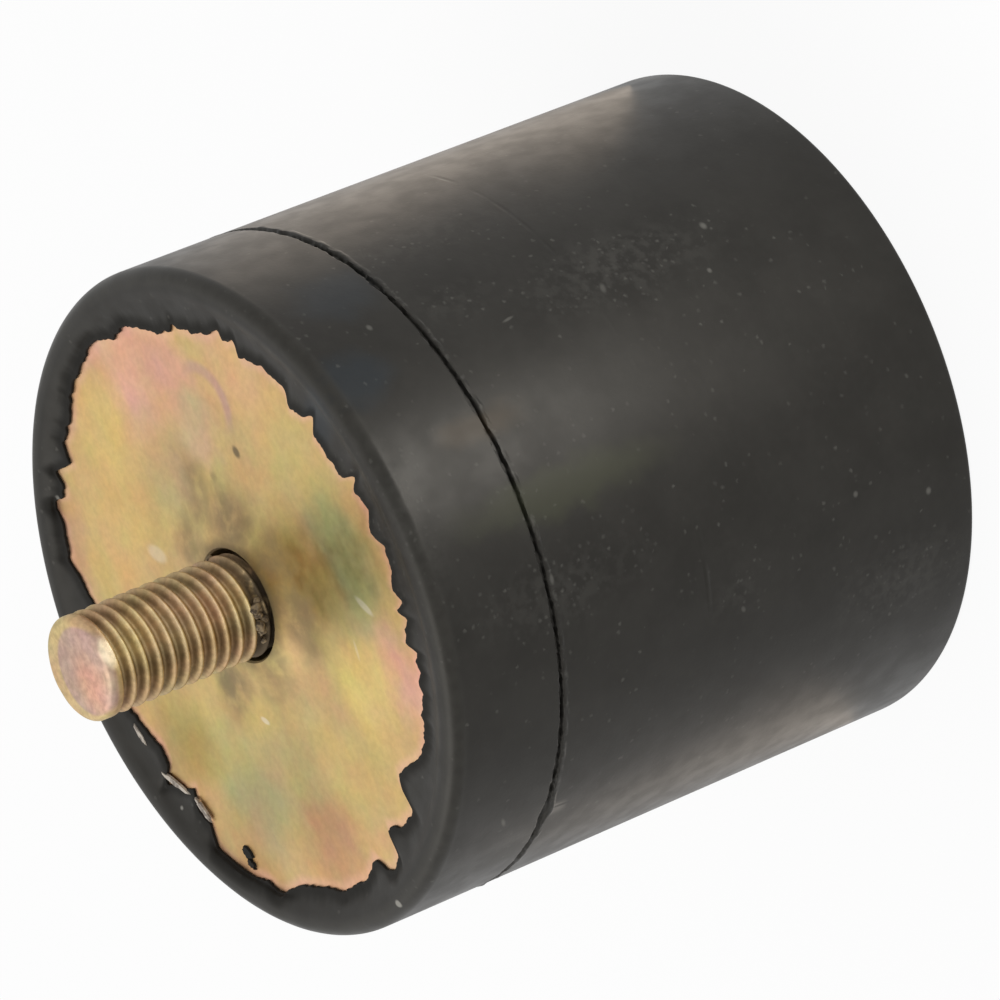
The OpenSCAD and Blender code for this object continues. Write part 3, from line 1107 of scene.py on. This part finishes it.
def add_lamp(name, place, aim, width, power):
    """A square lamp pointed at a place."""
    lamp = add_light(name, power)
    lamp.data.size = width
    lamp.location = place
    lamp.rotation_euler = (Vector(aim) - Vector(place)).to_track_quat("-Z", "Y").to_euler()


def add_strip(name, middle, turn, long, wide, power):
    """A narrow warm lamp that lies on the floor and points up."""
    lamp = add_light(name, power)
    lamp.data.color = STRIP_COLOUR
    lamp.data.shape = "RECTANGLE"
    lamp.data.size = long
    lamp.data.size_y = wide
    lamp.location = (*middle, STRIP_HEIGHT)
    lamp.rotation_euler = (math.pi, 0, math.radians(turn))


def seen_directly(nodes, links):
    """1 where the camera, or a mirror or glass, sees a surface, and 0 for light that falls on others."""
    path = nodes.new("ShaderNodeLightPath")
    total = path.outputs["Is Camera Ray"]
    for name in ("Is Glossy Ray", "Is Transmission Ray"):
        larger = nodes.new("ShaderNodeMath")
        larger.operation = "MAXIMUM"
        links.new(total, larger.inputs[0])
        links.new(path.outputs[name], larger.inputs[1])
        total = larger.outputs[0]
    return total


def floor_material(s):
    """A pale floor that looks white and still takes the object's shadow."""
    shader = Shader("pale_floor", Roughness=0.9)
    shader.feed(shader.surface.inputs["Base Color"], tuple(s.floor_colour))
    glow = shader.node("Emission", {"Color": (1, 1, 1), "Strength": 1.0})
    share = shader.math("MULTIPLY", seen_directly(shader.tree.nodes, shader.tree.links), 0.92)
    mixed = shader.node("MixShader", {0: share, 1: shader.surface.outputs[0], 2: glow.outputs[0]})
    shader.feed(shader.tree.nodes["Material Output"].inputs["Surface"], mixed.outputs[0])
    return shader.material


def set_sky(s):
    """Even light from all round, which looks white where it is seen."""
    world = bpy.data.worlds.new("white_studio")
    bpy.context.scene.world = world
    world.use_nodes = True
    nodes, links = world.node_tree.nodes, world.node_tree.links
    strength = nodes.new("ShaderNodeMapRange")
    links.new(seen_directly(nodes, links), strength.inputs["Value"])
    strength.inputs["To Min"].default_value = s.sky
    nodes["Background"].inputs["Color"].default_value = (1, 1, 1, 1)
    links.new(strength.outputs["Result"], nodes["Background"].inputs["Strength"])


def add_camera(s):
    """The camera in front of the isolator and above it, rolled so that the stud points down to the left."""
    back = Vector((0, -math.cos(s.elevation), math.sin(s.elevation)))
    level = Vector((1, 0, 0))
    upright = back.cross(level)
    right = math.cos(s.roll) * level + math.sin(s.roll) * upright
    up = -math.sin(s.roll) * level + math.cos(s.roll) * upright
    middle = Vector((0, 0, RUBBER_HIGH.z / 2))
    camera = bpy.data.objects.new("camera", bpy.data.cameras.new("camera"))
    turn = Matrix((right, up, back)).transposed().to_4x4()
    camera.matrix_world = Matrix.Translation(middle + back * s.distance + right * s.sideways) @ turn
    camera.data.lens = s.lens
    camera.data.clip_start = 0.01
    bpy.context.scene.collection.objects.link(camera)
    bpy.context.scene.camera = camera


class ISOLATOR_OT_stage(bpy.types.Operator):
    """Sets out the floor, the lamps, the sky and the camera"""

    bl_idname = "isolator.stage"
    bl_label = "Stage"

    def execute(self, context):
        s = context.scene.isolator.stage
        bm = bmesh.new()
        bmesh.ops.create_grid(bm, x_segments=1, y_segments=1, size=s.floor_size / 2)
        mesh = bpy.data.meshes.new("floor")
        bm.to_mesh(mesh)
        bm.free()
        mesh.materials.append(floor_material(s))
        floor = bpy.data.objects.new("floor", mesh)
        context.scene.collection.objects.link(floor)
        for lamp in LAMPS:
            add_lamp(*lamp)
        for strip in STRIPS:
            add_strip(*strip)
        set_sky(s)
        add_camera(s)
        context.scene.view_settings.view_transform = "Standard"
        return {"FINISHED"}


# Add-on


class ISOLATOR_PT_panel(bpy.types.Panel):
    """Lists the isolator's pieces and their settings"""

    bl_idname = "ISOLATOR_PT_panel"
    bl_label = "Rubber isolator"
    bl_space_type = "VIEW_3D"
    bl_region_type = "UI"
    bl_category = "Isolator"

    def draw(self, context):
        settings = context.scene.isolator
        groups = {
            "isolator.rubber": settings.rubber,
            "isolator.plate": settings.plate,
            "isolator.stud": settings.stud,
            "isolator.dirt": None,
            "isolator.stage": settings.stage,
        }
        for operator, group in groups.items():
            box = self.layout.box()
            box.operator(operator)
            for name in group.__annotations__ if group else ():
                box.prop(group, name)


CLASSES = (
    RubberSettings,
    PlateSettings,
    StudSettings,
    StageSettings,
    IsolatorSettings,
    ISOLATOR_OT_rubber,
    ISOLATOR_OT_plate,
    ISOLATOR_OT_stud,
    ISOLATOR_OT_dirt_and_glint,
    ISOLATOR_OT_stage,
    ISOLATOR_PT_panel,
)


def register():
    """Registers the classes and gives each scene its settings."""
    for cls in CLASSES:
        bpy.utils.register_class(cls)
    bpy.types.Scene.isolator = PointerProperty(type=IsolatorSettings)


def unregister():
    """Takes the settings and the classes away again."""
    del bpy.types.Scene.isolator
    for cls in reversed(CLASSES):
        bpy.utils.unregister_class(cls)


def main():
    """Builds the isolator and its stage."""
    register()
    bpy.ops.isolator.rubber()
    bpy.ops.isolator.plate()
    bpy.ops.isolator.stud()
    bpy.ops.isolator.dirt()
    bpy.ops.isolator.stage()


if __name__ == "__main__":
    main()
